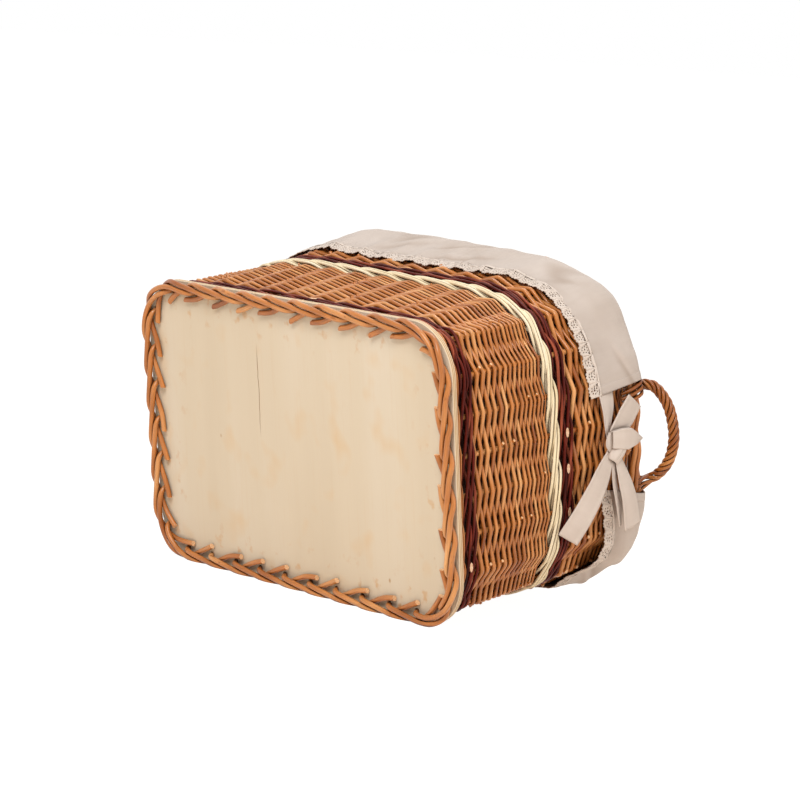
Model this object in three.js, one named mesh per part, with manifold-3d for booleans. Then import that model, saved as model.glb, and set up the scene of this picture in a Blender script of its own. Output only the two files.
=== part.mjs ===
// A willow storage basket: plywood base, woven wall, roped end handles and a tied cotton liner.
// Millimetres, +Z up. The origin is on the floor under the middle of the base, +X is the right end.
import * as THREE from "three";
import { mergeVertices } from "three/addons/utils/BufferGeometryUtils.js";
import Module from "manifold-3d";

// Gap between pieces that touch
const CLEARANCE = 0.3;

// Base board
const BOARD_LENGTH = 400;
const BOARD_WIDTH = 266;
const BOARD_CORNER_RADIUS = 46;
const BOARD_THICKNESS = 5;
const BOARD_CORNER_STEPS = 6;

// Stakes. The count is odd, so that one spiral weaver alternates from turn to turn.
const STAKE_COUNT = 35;
const STAKE_DIAMETER = 4.6;
const STAKE_INSET = 9;

// Wall, measured at the stakes' centre lines
const RIM_HEIGHT = 222;
const END_FLARE = 22;
const SIDE_FLARE = 19;
const RIM_CORNER_RADIUS = 114;

// How far the cut stake ends reach in under the board
const FOOT_END_IN = 7.5;

// Woven bands from the board up. The upper weave fills what is left below the top border.
const WEAVER_THICKNESS = 3;
const UPSETT_HEIGHT = 7;
const LOWER_WALE_HEIGHT = 14;
const MAIN_WEAVE_HEIGHT = 85;
const CREAM_WALE_HEIGHT = 13;
const UPPER_WALE_HEIGHT = 13;

// Handles: a rope of willow arching outwards from the rim, wrapped round the top border at its feet
const HANDLE_SPAN = 88;
const HANDLE_OUT = 28;
const HANDLE_RISE = 17;
const ROPE_RADIUS = 5.2;
const ROPE_STRANDS = 4;
const ROPE_TURNS = 3;
const ROPE_STEPS = 30;
const ROPE_VALLEY = 0.8;
const WRAP_DIAMETER = 3.4;
const OUTER_WRAP_LENGTH = 22;
const INNER_WRAP_LENGTH = 34;

// Cotton liner
const CLOTH_THICKNESS = 1.5;
const BAG_CORNERS = 64;
const SKIRT_DROP = 52;
const SKIRT_STATIONS = 40;
const SKIRT_FOLDS = 9;
const FOLD_DEPTH = 2;
const HEM_TUCK = 2;
const LACE_WIDTH = 9;
const LACE_SCALLOP = 1.5;
const LACE_THICKNESS = 1;

// Ties
const TIE_WIDTH = 22;
const TIE_THICKNESS = 1.2;
const KNOT_LENGTH = 20;
const KNOT_WIDTH = 17;
const KNOT_DEPTH = 11;
const KNOT_Y = 6;
const KNOT_DROP = 41;
const LONG_TAIL = 84;
const LONG_TAIL_ANGLE = -38;
const SHORT_TAIL = 56;
const SHORT_TAIL_ANGLE = 6;
const LONG_LOOP = 40;
const LONG_LOOP_ANGLE = 145;
const SHORT_LOOP = 32;
const SHORT_LOOP_ANGLE = 112;
const LOOP_THICKNESS = 4;

// Worked-out sizes
const STAKE_RADIUS = STAKE_DIAMETER / 2;
const STAKE_REACH = STAKE_RADIUS / Math.cos(Math.PI / 6);
const LAYER = STAKE_DIAMETER + CLEARANCE;
const FOOT_HEIGHT = 2 * LAYER;
const BOARD_TOP = FOOT_HEIGHT + BOARD_THICKNESS;
const BORDER_BOTTOM = RIM_HEIGHT - 3 * STAKE_DIAMETER - 2 * CLEARANCE;
const ROD_BESIDE = 2 * STAKE_REACH + 1.5 * CLEARANCE;
const BORDER_REACH = ROD_BESIDE + STAKE_REACH;
const WRAP_OFFSET = BORDER_REACH + CLEARANCE + WRAP_DIAMETER / Math.sqrt(3);
const LINER_INSET = WRAP_OFFSET + WRAP_DIAMETER / Math.sqrt(3) + CLEARANCE;
const SKIRT_GAP = HANDLE_SPAN + 2 * ROPE_RADIUS + 4 * CLEARANCE;
const RIM_LENGTH = BOARD_LENGTH - 2 * STAKE_INSET + 2 * END_FLARE;
const RIM_WIDTH = BOARD_WIDTH - 2 * STAKE_INSET + 2 * SIDE_FLARE;

const UP = new THREE.Vector3(0, 0, 1);

const materials = {
  willow: new THREE.MeshStandardMaterial({ color: 0xc48650, roughness: 0.5, metalness: 0 }),
  dark: new THREE.MeshStandardMaterial({ color: 0x5a2b24, roughness: 0.5, metalness: 0 }),
  cream: new THREE.MeshStandardMaterial({ color: 0xe2d8b8, roughness: 0.5, metalness: 0 }),
  plywood: new THREE.MeshStandardMaterial({ color: 0xe8d2b4, roughness: 0.65, metalness: 0 }),
  cotton: new THREE.MeshStandardMaterial({ color: 0xd8cbbf, roughness: 0.9, metalness: 0 }),
  lace: new THREE.MeshStandardMaterial({ color: 0xe1d7c8, roughness: 0.9, metalness: 0 }),
};

const basket = new THREE.Group();

function addPiece(name, geometry, material) {
  geometry.computeVertexNormals();
  const mesh = new THREE.Mesh(geometry, material);
  mesh.name = name;
  basket.add(mesh);
}

// A rounded rectangle walked clockwise seen from above, from the middle of the right end.
function roundedLoop(length, width, radius) {
  const x = length / 2 - radius;
  const y = width / 2 - radius;
  const quarter = Math.PI / 2;
  const loop = new THREE.Path();
  loop.moveTo(length / 2, 0);
  loop.lineTo(length / 2, -y);
  loop.absarc(x, -y, radius, 0, -quarter, true);
  loop.lineTo(-x, -width / 2);
  loop.absarc(-x, -y, radius, -quarter, -2 * quarter, true);
  loop.lineTo(-length / 2, y);
  loop.absarc(-x, y, radius, 2 * quarter, quarter, true);
  loop.lineTo(x, width / 2);
  loop.absarc(x, y, radius, quarter, 0, true);
  loop.lineTo(length / 2, 0);
  return loop;
}

const boardOutline = roundedLoop(BOARD_LENGTH, BOARD_WIDTH, BOARD_CORNER_RADIUS);
const holeLoop = roundedLoop(
  BOARD_LENGTH - 2 * STAKE_INSET, BOARD_WIDTH - 2 * STAKE_INSET, BOARD_CORNER_RADIUS - STAKE_INSET);
const rimLoop = roundedLoop(RIM_LENGTH, RIM_WIDTH, RIM_CORNER_RADIUS);

// The wall is ruled from the stake holes to the rim. A place on it is a share of the way round, a
// height above the floor and a distance outside the stakes' centre lines.
function wallPlace(share, height, out = 0) {
  const around = share - Math.floor(share);
  const climbed = (height - BOARD_TOP) / (RIM_HEIGHT - BOARD_TOP);
  const rise = THREE.MathUtils.clamp(climbed, 0, 1);
  const flat = holeLoop.getPoint(around).lerp(rimLoop.getPoint(around), rise);
  const heading = holeLoop.getTangent(around).lerp(rimLoop.getTangent(around), rise).normalize();
  const along = new THREE.Vector3(heading.x, heading.y, 0);
  const outward = new THREE.Vector3(-heading.y, heading.x, 0);
  const point = new THREE.Vector3(flat.x, flat.y, height).addScaledVector(outward, out);
  return { point, along, outward };
}

function offsetPoint(origin, first, firstLength, second, secondLength) {
  return origin.clone().addScaledVector(first, firstLength).addScaledVector(second, secondLength);
}

function signedVolume(positions, index) {
  const corner = [new THREE.Vector3(), new THREE.Vector3(), new THREE.Vector3()];
  let total = 0;
  for (let i = 0; i < index.length; i += 3) {
    corner.forEach((point, k) => point.fromArray(positions, 3 * index[i + k]));
    total += corner[0].dot(corner[1].clone().cross(corner[2])) / 6;
  }
  return total;
}

// A closed solid through rings of points. In each ring the first half of the points faces the
// second half, so that the ends close as strips.
function loft(rings) {
  const size = rings[0].length;
  const last = (rings.length - 1) * size;
  const positions = rings.flat().flatMap((point) => point.toArray());
  const index = [];
  for (let start = 0; start < last; start += size) {
    for (let i = 0; i < size; i++) {
      const a = start + i;
      const b = start + (i + 1) % size;
      index.push(a, b, b + size, a, b + size, a + size);
    }
  }
  for (let i = 0; i < size / 2 - 1; i++) {
    const facing = size - 1 - i;
    index.push(i, facing, facing - 1, i, facing - 1, i + 1);
    index.push(last + i, last + i + 1, last + facing - 1);
    index.push(last + i, last + facing - 1, last + facing);
  }
  if (signedVolume(positions, index) < 0) index.reverse();
  const geometry = new THREE.BufferGeometry();
  geometry.setAttribute("position", new THREE.Float32BufferAttribute(positions, 3));
  geometry.setIndex(index);
  return geometry;
}

// A regular polygon spanned by two directions, with a corner on the first one.
function polygonRing(centre, first, second, radius, sides = 6) {
  return Array.from({ length: sides }, (_, k) => {
    const angle = (2 * Math.PI * k) / sides;
    return offsetPoint(centre, first, radius * Math.cos(angle), second, radius * Math.sin(angle));
  });
}

// Booleans
const wasm = await Module();
wasm.setup();

function toSolid(geometry) {
  const bare = geometry.clone();
  bare.deleteAttribute("normal");
  bare.deleteAttribute("uv");
  const merged = mergeVertices(bare);
  return new wasm.Manifold(new wasm.Mesh({
    numProp: 3,
    vertProperties: new Float32Array(merged.attributes.position.array),
    triVerts: new Uint32Array(merged.index.array),
  }));
}

function join(geometries) {
  const whole = geometries.map(toSolid).reduce((sum, solid) => sum.add(solid)).getMesh();
  const geometry = new THREE.BufferGeometry();
  geometry.setAttribute("position", new THREE.Float32BufferAttribute(whole.vertProperties, 3));
  geometry.setIndex(Array.from(whole.triVerts));
  return geometry;
}

// Weavers step up a turn at the middle of the left end, which is where stake 0 stands.
function stakeShare(k) {
  return 0.5 + k / STAKE_COUNT;
}

// Base board, with a hole for each stake
function baseBoard() {
  const outline = boardOutline.getPoints(BOARD_CORNER_STEPS);
  const corners = outline.filter((point, i) => point.distanceTo(outline.at(i - 1)) > CLEARANCE);
  const board = new THREE.Shape(corners.reverse());
  for (let k = 0; k < STAKE_COUNT; k++) {
    const { point, along, outward } = wallPlace(stakeShare(k), FOOT_HEIGHT);
    const ring = polygonRing(point, outward, along, STAKE_REACH + CLEARANCE);
    board.holes.push(new THREE.Path(ring.map((corner) => new THREE.Vector2(corner.x, corner.y))));
  }
  const geometry = new THREE.ExtrudeGeometry(board, { depth: BOARD_THICKNESS, bevelEnabled: false });
  return geometry.translate(0, 0, FOOT_HEIGHT);
}

// A route given by stations is split in equal parts where the wall turns a corner, so that rods side
// by side turn together.
const CORNER_TURN = THREE.MathUtils.degToRad(16);
const CORNER_PARTS = 3;

function followCorners(stations) {
  const facing = ({ step, height }) => wallPlace(stakeShare(step), height).outward;
  return stations.flatMap((here, i) => {
    const next = stations[i + 1];
    if (next === undefined) return [here];
    const parts = facing(here).angleTo(facing(next)) > CORNER_TURN ? CORNER_PARTS : 1;
    return Array.from({ length: parts }, (_, part) => {
      const mix = (key) => THREE.MathUtils.lerp(here[key], next[key], part / parts);
      return { step: mix("step"), out: mix("out"), height: mix("height"), turn: mix("turn") };
    });
  });
}

// One stake from its cut end under the board to its cut end in the top border. Steps are counted in
// stake spacings from the stake, and borders lay each rod beside the one before it. The section turns
// with the rod: 0 lying under the board, 90 upright, 180 in the top border.
function stake(k) {
  const floorLayer = STAKE_RADIUS;
  const boardLayer = floorLayer + LAYER;
  const topLayer = RIM_HEIGHT - STAKE_RADIUS;
  const middleLayer = topLayer - LAYER;
  const lowLayer = middleLayer - LAYER;
  const footEdge = 1.5 * ROD_BESIDE;
  const stations = [
    { step: 3.2, out: -FOOT_END_IN, height: boardLayer, turn: 0 },
    { step: 2.9, out: -ROD_BESIDE, height: boardLayer, turn: 0 },
    { step: 2.1, out: footEdge - STAKE_RADIUS / 2, height: boardLayer, turn: 0 },
    { step: 1.95, out: footEdge, height: boardLayer, turn: 0 },
    { step: 1.7, out: footEdge, height: floorLayer, turn: 0 },
    { step: 0.2, out: 0, height: floorLayer, turn: 0 },
    { step: 0, out: 0, height: boardLayer, turn: 45 },
    { step: 0, out: 0, height: BOARD_TOP, turn: 90 },
    { step: 0, out: 0, height: lowLayer, turn: 135 },
    { step: 0.42, out: ROD_BESIDE, height: lowLayer, turn: 180 },
    { step: 0.75, out: ROD_BESIDE, height: lowLayer, turn: 180 },
    { step: 1.1, out: ROD_BESIDE, height: middleLayer, turn: 180 },
    { step: 1.75, out: ROD_BESIDE, height: middleLayer, turn: 180 },
    { step: 2.1, out: ROD_BESIDE, height: topLayer, turn: 180 },
    { step: 2.75, out: 0, height: topLayer, turn: 180 },
    { step: 3.05, out: 0, height: topLayer, turn: 180 },
  ];
  const fromStake = stations.map((station) => ({ ...station, step: k + station.step }));
  const rings = followCorners(fromStake).map(({ step, out, height, turn }) => {
    const { point, along, outward } = wallPlace(stakeShare(step), height, out);
    const angle = THREE.MathUtils.degToRad(turn);
    const across = offsetPoint(new THREE.Vector3(), UP, -Math.cos(angle), along, -Math.sin(angle));
    return polygonRing(point, outward, across, STAKE_REACH);
  });
  return loft(rings);
}

// One weaver wound up the wall in level turns. It passes in front of a number of stakes, then behind
// one, and bends once more between two stakes where the wall turns a corner.
const WEAVER_TURN = THREE.MathUtils.degToRad(35);

function weaver({ bottom, height, turns, inFront }) {
  const pitch = height / turns;
  const halfHeight = (pitch - CLEARANCE) / 2;
  const swing = STAKE_REACH + CLEARANCE + WEAVER_THICKNESS / 2;
  const pass = (i) => {
    const level = bottom + (Math.floor(i / STAKE_COUNT) + 0.5) * pitch;
    const out = i % (inFront + 1) === 0 ? -swing : swing;
    return { share: stakeShare(i % STAKE_COUNT), level, out };
  };
  const rings = [];
  const addRing = (share, level, out) => {
    const { point, outward } = wallPlace(share, level, out);
    rings.push(polygonRing(point, outward.multiplyScalar(WEAVER_THICKNESS / 2),
      UP.clone().multiplyScalar(halfHeight), 1, 4));
  };
  const passes = turns * STAKE_COUNT;
  for (let i = 0; i < passes; i++) {
    const here = pass(i);
    const next = pass(i + 1);
    addRing(here.share, here.level, here.out);
    const nextShare = here.share + 1 / STAKE_COUNT;
    const turned = wallPlace(here.share, here.level).outward
      .angleTo(wallPlace(nextShare, here.level).outward);
    if (turned > WEAVER_TURN && i + 1 < passes) {
      addRing((here.share + nextShare) / 2, (here.level + next.level) / 2, (here.out + next.out) / 2);
    }
  }
  return loft(rings);
}

function addBands() {
  const bands = [
    { name: "upsett_weave", height: UPSETT_HEIGHT, turns: 1, inFront: 2, material: materials.willow },
    { name: "lower_dark_wale", height: LOWER_WALE_HEIGHT, turns: 2, inFront: 2, material: materials.dark },
    { name: "main_weave", height: MAIN_WEAVE_HEIGHT, turns: 10, inFront: 1, material: materials.willow },
    { name: "cream_wale", height: CREAM_WALE_HEIGHT, turns: 2, inFront: 2, material: materials.cream },
    { name: "upper_dark_wale", height: UPPER_WALE_HEIGHT, turns: 2, inFront: 2, material: materials.dark },
    { name: "upper_weave", turns: 5, inFront: 1, material: materials.willow },
  ];
  let bottom = BOARD_TOP + CLEARANCE;
  for (const { name, height = BORDER_BOTTOM - bottom, turns, inFront, material } of bands) {
    addPiece(name, weaver({ bottom, height, turns, inFront }), material);
    bottom += height;
  }
}

// Places at an end of the basket: a distance across it from the middle of the right end, turned to
// a share of the rim.
const RIM_PERIMETER = rimLoop.getLength();

function endPlace(across, height, out) {
  return wallPlace(-across / RIM_PERIMETER, height, out);
}

// A wrap: one strand of a handle's foot that goes over the top border and down the wall.
function wrap(across, side, length) {
  const over = RIM_HEIGHT + 2 * CLEARANCE + WRAP_DIAMETER / 2;
  const stations = [
    { out: 0, height: over, tilt: 90 },
    { out: side * (WRAP_OFFSET - WRAP_DIAMETER / 2), height: over, tilt: 90 },
    { out: side * WRAP_OFFSET, height: RIM_HEIGHT - WRAP_DIAMETER / 2, tilt: 0 },
    { out: side * WRAP_OFFSET, height: RIM_HEIGHT - length, tilt: 0 },
  ];
  return loft(stations.map(({ out, height, tilt }) => {
    const { point, along, outward } = endPlace(across, height, out);
    const angle = THREE.MathUtils.degToRad(tilt);
    const rise = side * Math.sin(angle);
    const facing = offsetPoint(new THREE.Vector3(), outward, Math.cos(angle), UP, rise);
    return polygonRing(point, along, facing, WRAP_DIAMETER / Math.sqrt(3));
  }));
}

// The rope's section: a ring of lobes, one for each strand.
function ropeRing(centre, first, second, turn) {
  const corners = 2 * ROPE_STRANDS;
  return Array.from({ length: corners }, (_, k) => {
    const radius = k % 2 === 0 ? ROPE_RADIUS : ROPE_VALLEY * ROPE_RADIUS;
    const angle = turn + (2 * Math.PI * k) / corners;
    return offsetPoint(centre, first, radius * Math.cos(angle), second, radius * Math.sin(angle));
  });
}

// One leg of the arch from its foot to the middle, in shares of the half span, the reach and the rise
const ARCH_LEG = [
  { across: 1, out: 0, rise: 0 },
  { across: 1, out: 0.05, rise: 0.35 },
  { across: 0.92, out: 0.42, rise: 0.74 },
  { across: 0.58, out: 0.83, rise: 0.94 },
  { across: 0, out: 1, rise: 1 },
];

// The rope's ends are cut level where they sit on the top border.
function handle() {
  const half = HANDLE_SPAN / 2;
  const seat = RIM_HEIGHT + CLEARANCE;
  const leg = (side) => ARCH_LEG.map(({ across, out, rise }) => {
    return endPlace(side * across * half, seat + HANDLE_RISE * rise, HANDLE_OUT * out).point;
  });
  const arch = new THREE.CatmullRomCurve3([...leg(-1), ...leg(1).reverse().slice(1)]);
  const frames = arch.computeFrenetFrames(ROPE_STEPS);
  const rings = Array.from({ length: ROPE_STEPS + 1 }, (_, i) => {
    const turn = (2 * Math.PI * ROPE_TURNS * i) / ROPE_STEPS;
    const centre = arch.getPointAt(i / ROPE_STEPS);
    const ring = ropeRing(centre, frames.normals[i], frames.binormals[i], turn);
    const isFoot = i === 0 || i === ROPE_STEPS;
    return isFoot ? ring.map((point) => point.setZ(seat)) : ring;
  });
  const wraps = [-half, half].flatMap((y) => [
    wrap(y, 1, OUTER_WRAP_LENGTH), wrap(y, -1, INNER_WRAP_LENGTH)]);
  return join([loft(rings), ...wraps]);
}

// The liner's bag: an open tub just inside the wall.
function linerBag() {
  const floor = BOARD_TOP + CLEARANCE;
  const brim = RIM_HEIGHT + CLEARANCE;
  const ring = (height, inset) => Array.from({ length: BAG_CORNERS }, (_, i) => {
    return wallPlace((i + 0.5) / BAG_CORNERS, height, -inset).point;
  });
  return loft([
    ring(floor, LINER_INSET),
    ring(brim, LINER_INSET),
    ring(brim, LINER_INSET + CLOTH_THICKNESS),
    ring(floor + CLOTH_THICKNESS, LINER_INSET + CLOTH_THICKNESS),
  ]);
}

// A skirt runs from one handle round a long side to the other handle. Below the border its folds deepen
// to the hem, which is tucked in towards the weave.
const SKIRT_FRONT_START = SKIRT_GAP / 2 / RIM_PERIMETER;
const SKIRT_SHARE = 0.5 - 2 * SKIRT_FRONT_START;
const SKIRT_OUT = BORDER_REACH + CLEARANCE;
const HEM_HEIGHT = RIM_HEIGHT - SKIRT_DROP;

function foldOut(station) {
  const waves = (2 * Math.PI * SKIRT_FOLDS * station) / SKIRT_STATIONS;
  return (FOLD_DEPTH * (1 - Math.cos(waves))) / 2 - HEM_TUCK;
}

function skirt(start) {
  const rings = [];
  for (let i = 0; i <= SKIRT_STATIONS; i++) {
    const share = start + (SKIRT_SHARE * i) / SKIRT_STATIONS;
    const fold = foldOut(i);
    const top = RIM_HEIGHT + 2 * CLEARANCE;
    const under = [
      { out: -LINER_INSET - CLOTH_THICKNESS, height: top },
      { out: SKIRT_OUT - CLOTH_THICKNESS, height: top },
      { out: SKIRT_OUT, height: top - CLOTH_THICKNESS },
      { out: SKIRT_OUT, height: BORDER_BOTTOM },
      { out: SKIRT_OUT + fold, height: HEM_HEIGHT },
    ];
    const over = [
      { out: -LINER_INSET - CLOTH_THICKNESS, height: top + CLOTH_THICKNESS },
      { out: SKIRT_OUT - CLOTH_THICKNESS / 2, height: top + CLOTH_THICKNESS },
      { out: SKIRT_OUT + CLOTH_THICKNESS, height: top - CLOTH_THICKNESS / 2 },
      { out: SKIRT_OUT + CLOTH_THICKNESS, height: BORDER_BOTTOM },
      { out: SKIRT_OUT + CLOTH_THICKNESS + fold, height: HEM_HEIGHT },
    ];
    const section = [...over, ...under.reverse()];
    rings.push(section.map(({ out, height }) => wallPlace(share, height, out).point));
  }
  return loft(rings);
}

// Lace sewn under a skirt's hem, with a scalloped edge
function lace(start) {
  const rings = [];
  for (let i = 0; i <= SKIRT_STATIONS; i++) {
    const share = start + (SKIRT_SHARE * i) / SKIRT_STATIONS;
    const inner = SKIRT_OUT + foldOut(i) + (CLOTH_THICKNESS - LACE_THICKNESS) / 2;
    const top = HEM_HEIGHT - CLEARANCE;
    const edge = HEM_HEIGHT - LACE_WIDTH + (i % 2) * LACE_SCALLOP;
    rings.push([
      wallPlace(share, top, inner + LACE_THICKNESS).point,
      wallPlace(share, edge, inner + LACE_THICKNESS).point,
      wallPlace(share, edge, inner).point,
      wallPlace(share, top, inner).point,
    ]);
  }
  return loft(rings);
}

// A flat ribbon against an end of the basket, through places given by across, height and out.
function ribbon(places, thickness = TIE_THICKNESS) {
  const points = places.map(({ across, height, out }) => endPlace(across, height, out).point);
  const outward = new THREE.Vector3(1, 0, 0);
  return loft(points.map((point, i) => {
    const behind = points[Math.max(i - 1, 0)];
    const ahead = points[Math.min(i + 1, points.length - 1)];
    const edge = ahead.clone().sub(behind).cross(outward).normalize();
    return [[1, 1], [1, -1], [-1, -1], [-1, 1]].map(([side, face]) => {
      return offsetPoint(point, edge, (side * TIE_WIDTH) / 2, outward, (face * thickness) / 2);
    });
  }));
}

// The ties of one end, as they hang in the photo
const KNOT_HEIGHT = RIM_HEIGHT - KNOT_DROP;
const STRAP_OUT = SKIRT_OUT + CLOTH_THICKNESS / 2 - HEM_TUCK / 2;
const KNOT_OUT = STRAP_OUT + KNOT_DEPTH / 2;
const TIE_LAYER = TIE_THICKNESS + CLEARANCE;
const CLEAR_OF_FOLDS = SKIRT_OUT + CLOTH_THICKNESS + TIE_LAYER;
const STRAP_LEAN = (TIE_WIDTH / 2) * END_FLARE / (RIM_HEIGHT - BOARD_TOP);
const TAIL_OUT = Math.max(CLEAR_OF_FOLDS, KNOT_OUT + TIE_LAYER + STRAP_LEAN);
const SHORT_TAIL_OUT = TAIL_OUT + TIE_LAYER;
const LOOP_OUT = KNOT_OUT + TIE_LAYER + LOOP_THICKNESS / 2;

function knotEdge(degrees, extra) {
  const angle = THREE.MathUtils.degToRad(degrees);
  const reach = Math.hypot((KNOT_LENGTH / 2) * Math.cos(angle), (KNOT_WIDTH / 2) * Math.sin(angle));
  return {
    across: KNOT_Y + (reach + extra) * Math.cos(angle),
    height: KNOT_HEIGHT + (reach + extra) * Math.sin(angle),
  };
}

function tieStrap(side) {
  const seam = side * (SKIRT_GAP / 2 - CLEARANCE);
  const knotSide = KNOT_Y + side * (KNOT_LENGTH / 2 + CLEARANCE);
  return ribbon([
    { across: seam, height: KNOT_HEIGHT, out: STRAP_OUT },
    { across: knotSide, height: KNOT_HEIGHT, out: KNOT_OUT },
  ]);
}

function tieTail(degrees, length, out) {
  const ends = [CLEARANCE, CLEARANCE + length / 2, CLEARANCE + length];
  return ribbon(ends.map((travelled) => ({ ...knotEdge(degrees, travelled), out })));
}

function bow() {
  const knot = new THREE.SphereGeometry(0.5, 10, 6).scale(KNOT_DEPTH, KNOT_LENGTH, KNOT_WIDTH);
  const centre = endPlace(KNOT_Y, KNOT_HEIGHT, KNOT_OUT).point;
  knot.translate(centre.x, centre.y, centre.z);
  const loop = (degrees, length) => {
    const ends = [-KNOT_WIDTH / 8, length / 2, length];
    const places = ends.map((travelled) => ({ ...knotEdge(degrees, travelled), out: LOOP_OUT }));
    return ribbon(places, LOOP_THICKNESS);
  };
  return join([knot, loop(LONG_LOOP_ANGLE, LONG_LOOP), loop(SHORT_LOOP_ANGLE, SHORT_LOOP)]);
}

// Assembly
addPiece("base_board", baseBoard(), materials.plywood);
for (let k = 0; k < STAKE_COUNT; k++) {
  addPiece(`stake_${String(k + 1).padStart(2, "0")}`, stake(k), materials.willow);
}
addBands();
addPiece("liner_bag", linerBag(), materials.cotton);
addPiece("liner_skirt_front", skirt(SKIRT_FRONT_START), materials.cotton);
addPiece("liner_skirt_back", skirt(0.5 + SKIRT_FRONT_START), materials.cotton);
addPiece("lace_front", lace(SKIRT_FRONT_START), materials.lace);
addPiece("lace_back", lace(0.5 + SKIRT_FRONT_START), materials.lace);

// The left end mirrors the right one.
function mirrored(geometry) {
  const copy = geometry.clone().scale(-1, 1, 1);
  copy.setIndex(Array.from(copy.index.array).reverse());
  return copy;
}

function addEndPiece(name, geometry, material) {
  addPiece(`${name}_right`, geometry, material);
  addPiece(`${name}_left`, mirrored(geometry), material);
}

addEndPiece("handle", handle(), materials.willow);
addEndPiece("tie_strap_front", tieStrap(-1), materials.cotton);
addEndPiece("tie_strap_back", tieStrap(1), materials.cotton);
addEndPiece("bow", bow(), materials.cotton);
addEndPiece("tail_long", tieTail(LONG_TAIL_ANGLE, LONG_TAIL, TAIL_OUT), materials.cotton);
addEndPiece("tail_short", tieTail(SHORT_TAIL_ANGLE, SHORT_TAIL, SHORT_TAIL_OUT), materials.cotton);

export default basket;
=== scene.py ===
"""A willow storage basket on its side: woven wall, plywood base, roped handles and a tied liner."""

import math

import bpy
from mathutils import Matrix, Vector, geometry, noise

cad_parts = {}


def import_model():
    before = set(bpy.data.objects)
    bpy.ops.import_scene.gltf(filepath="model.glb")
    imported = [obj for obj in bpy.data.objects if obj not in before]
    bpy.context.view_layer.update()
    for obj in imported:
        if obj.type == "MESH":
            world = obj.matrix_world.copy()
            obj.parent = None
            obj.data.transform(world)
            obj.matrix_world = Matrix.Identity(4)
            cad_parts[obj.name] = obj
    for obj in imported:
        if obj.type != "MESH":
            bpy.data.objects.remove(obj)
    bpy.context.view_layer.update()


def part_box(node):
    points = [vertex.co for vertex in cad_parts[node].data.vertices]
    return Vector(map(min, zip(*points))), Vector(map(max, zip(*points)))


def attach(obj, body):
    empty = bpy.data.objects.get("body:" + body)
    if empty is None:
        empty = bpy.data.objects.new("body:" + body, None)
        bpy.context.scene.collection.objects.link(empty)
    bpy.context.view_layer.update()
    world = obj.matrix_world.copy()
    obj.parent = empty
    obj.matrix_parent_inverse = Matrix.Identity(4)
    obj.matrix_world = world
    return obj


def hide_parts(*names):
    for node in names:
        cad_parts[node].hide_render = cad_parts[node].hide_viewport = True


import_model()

# Sizes are in metres. The main ones come from the frame.
MM = 0.001
board_low, board_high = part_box("base_board")
BOARD_LENGTH = board_high.x - board_low.x
BOARD_WIDTH = board_high.y - board_low.y
BOARD_BOTTOM = board_low.z
BOARD_TOP = board_high.z
RIM_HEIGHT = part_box("stake_01")[1].z
HEM_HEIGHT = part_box("liner_skirt_front")[0].z

BOARD_CORNER_RADIUS = 46 * MM
BOARD_BEVEL = 0.6 * MM
STAKE_COUNT = 35
STAKE_RADIUS = 2.3 * MM
STAKE_INSET = 9 * MM
END_FLARE = 22 * MM
SIDE_FLARE = 19 * MM
RIM_CORNER_RADIUS = 114 * MM
CLEARANCE = 0.3 * MM
STAKE_REACH = STAKE_RADIUS / math.cos(math.pi / 6)
ROD_BESIDE = 2 * STAKE_REACH + 1.5 * CLEARANCE
BORDER_REACH = ROD_BESIDE + STAKE_REACH
FOOT_END_IN = 7.5 * MM
SKIRT_OUT = BORDER_REACH + CLEARANCE
BORDER_BOTTOM = RIM_HEIGHT - 6 * STAKE_RADIUS - 2 * CLEARANCE


# Geometry of the wall

class Loop:
    """A rounded rectangle walked clockwise seen from above, from the middle of the right end."""

    def __init__(self, length, width, radius):
        half = width / 2 - radius
        corner = radius * math.pi / 2
        side = length - 2 * radius
        self.radius = radius
        self.start = (length / 2, 0.0)
        self.legs = [half, corner, side, corner, 2 * half, corner, side, corner, half]
        self.perimeter = sum(self.legs)

    def at(self, share):
        """The point and the heading at a share of the way round."""
        left = (share % 1.0) * self.perimeter
        x, y = self.start
        heading = -math.pi / 2
        for i, leg in enumerate(self.legs):
            step = min(left, leg)
            if i % 2:
                turned = heading - step / self.radius
                x += self.radius * (math.sin(heading) - math.sin(turned))
                y += self.radius * (math.cos(turned) - math.cos(heading))
                heading = turned
            else:
                x += step * math.cos(heading)
                y += step * math.sin(heading)
            left -= step
            if left <= 0:
                break
        return x, y, heading


HOLES = Loop(BOARD_LENGTH - 2 * STAKE_INSET, BOARD_WIDTH - 2 * STAKE_INSET,
             BOARD_CORNER_RADIUS - STAKE_INSET)
RIM = Loop(BOARD_LENGTH - 2 * STAKE_INSET + 2 * END_FLARE,
           BOARD_WIDTH - 2 * STAKE_INSET + 2 * SIDE_FLARE, RIM_CORNER_RADIUS)

# The back right corner of the wall stands out a little
BELLY = 2.5 * MM
BELLY_SHARE = 0.87
BELLY_WIDTH = 0.1


def lerp(a, b, share):
    return a + (b - a) * share


def bump(value, middle, width):
    """1 at the middle, falling to nothing on both sides."""
    return math.exp(-((value - middle) / width) ** 2)


def wall_frame(share, height):
    """A point on the stakes' centre lines and the direction out of the wall there."""
    rise = min(max((height - BOARD_TOP) / (RIM_HEIGHT - BOARD_TOP), 0.0), 1.0)
    low_x, low_y, low_heading = HOLES.at(share)
    high_x, high_y, high_heading = RIM.at(share)
    point = Vector((lerp(low_x, high_x, rise), lerp(low_y, high_y, rise), height))
    along_x = lerp(math.cos(low_heading), math.cos(high_heading), rise)
    along_y = lerp(math.sin(low_heading), math.sin(high_heading), rise)
    outward = Vector((-along_y, along_x, 0.0)).normalized()
    belly = BELLY * math.sin(math.pi * rise) * bump(share % 1.0, BELLY_SHARE, BELLY_WIDTH)
    return point + outward * belly, outward


def wall_place(share, height, out=0.0):
    point, outward = wall_frame(share, height)
    return point + outward * out


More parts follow.
